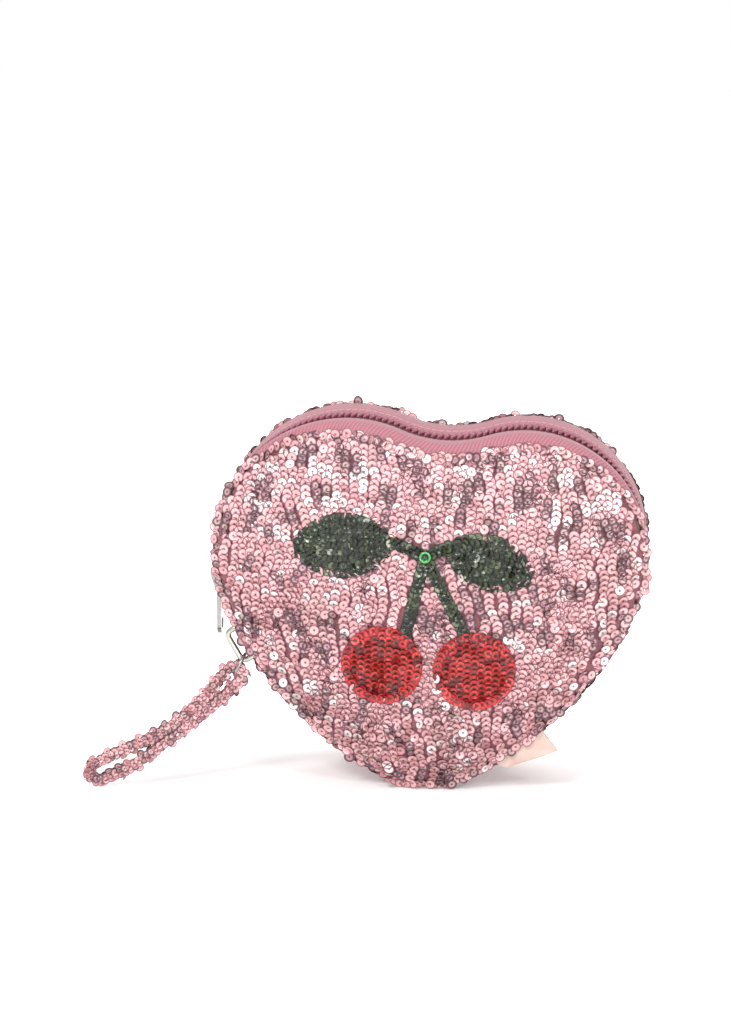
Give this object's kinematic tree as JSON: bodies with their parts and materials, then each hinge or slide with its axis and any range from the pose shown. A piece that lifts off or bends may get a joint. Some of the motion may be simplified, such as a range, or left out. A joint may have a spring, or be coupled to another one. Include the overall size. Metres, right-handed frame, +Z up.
{
  "type": "heart shaped purse",
  "caption": "Small padded heart shaped purse of sequinned cloth with a cherry motif, a zip over the top, a side ring with a hand loop and a bare ribbon label.",
  "frame": {"origin": "Middle of the flat foot at the bottom tip, on the surface that the purse stands on.", "axes": "+X to the right seen from the front, +Y from the front to the back, +Z up. The front with the cherries faces -Y."},
  "size_m": [0.151, 0.0482, 0.0994],
  "materials": {
    "sequin_cloth": "light pink cup sequins with plum edges, sewn in overlapping rows",
    "foam": "soft white padding",
    "lining": "smooth woven lining",
    "zip_tape": "ribbed dusty rose tape",
    "zip_coil": "darker coil teeth",
    "nickel": "pale polished nickel plating",
    "ribbon": "bare satin ribbon",
    "cherry_sequins": "glossy red sequins",
    "leaf_sequins": "glossy very dark green sequins",
    "bead": "bright green cup bead"
  },
  "bodies": {
    "purse": {"front_panel": "sequin_cloth", "front_padding": "foam", "front_lining": "lining", "back_panel": "sequin_cloth", "back_padding": "foam", "back_lining": "lining", "lower_gusset": "sequin_cloth", "lower_gusset_lining": "lining", "front_zip_tape": "zip_tape", "back_zip_tape": "zip_tape", "front_zip_facing": "lining", "back_zip_facing": "lining", "front_coil": "zip_coil", "back_coil": "zip_coil", "zip_stop_left": "nickel", "zip_stop_right": "nickel", "ring_tab": "zip_tape", "side_label": "ribbon", "left_cherry": "cherry_sequins", "right_cherry": "cherry_sequins", "left_leaf": "leaf_sequins", "right_leaf": "leaf_sequins", "cherry_stems": "leaf_sequins", "stem_bead": "bead"},
    "mouth_corner": {"front_panel_corner": "sequin_cloth", "front_padding_corner": "foam", "front_lining_corner": "lining", "front_zip_tape_corner": "zip_tape", "front_zip_facing_corner": "lining", "front_coil_corner": "zip_coil"},
    "slider": {"zip_slider": "nickel"},
    "pull": {"slider_pull": "nickel"},
    "ring": {"strap_ring": "nickel"},
    "link": {"jump_ring": "nickel"},
    "strap": {"wrist_strap": "sequin_cloth"}
  },
  "joints": [
    {"name": "zip_travel", "type": "hinge", "parent": "purse", "child": "slider", "pos_m": [-0.021, 0, 0.0638], "axis": [0, 1, 0], "range_deg": [0, 125]},
    {"name": "pull_pivot", "type": "hinge", "parent": "slider", "child": "pull", "pos_m": [-0.05652, 0, 0.05167], "axis": [0, -1, 0], "range_deg": [-155, 18]},
    {"name": "mouth_open", "type": "hinge", "parent": "purse", "child": "mouth_corner", "pos_m": [-0.03653, -0.022, 0.07861], "axis": [0.6902, 0, 0.7236], "range_deg": [0, 30]},
    {"name": "ring_swing", "type": "hinge", "parent": "purse", "child": "ring", "pos_m": [-0.04743, -0.0135, 0.03935], "axis": [0.5007, 0, -0.8656], "range_deg": [-25, 10]},
    {"name": "link_swing", "type": "hinge", "parent": "ring", "child": "link", "pos_m": [-0.04869, -0.0135, 0.03426], "axis": [0.891, 0, -0.454], "range_deg": [-35, 15]},
    {"name": "strap_swing", "type": "hinge", "parent": "link", "child": "strap", "pos_m": [-0.0509, -0.0135, 0.02994], "axis": [0.2756, -0.9613, 0], "range_deg": [-60, 50]}
  ]
}
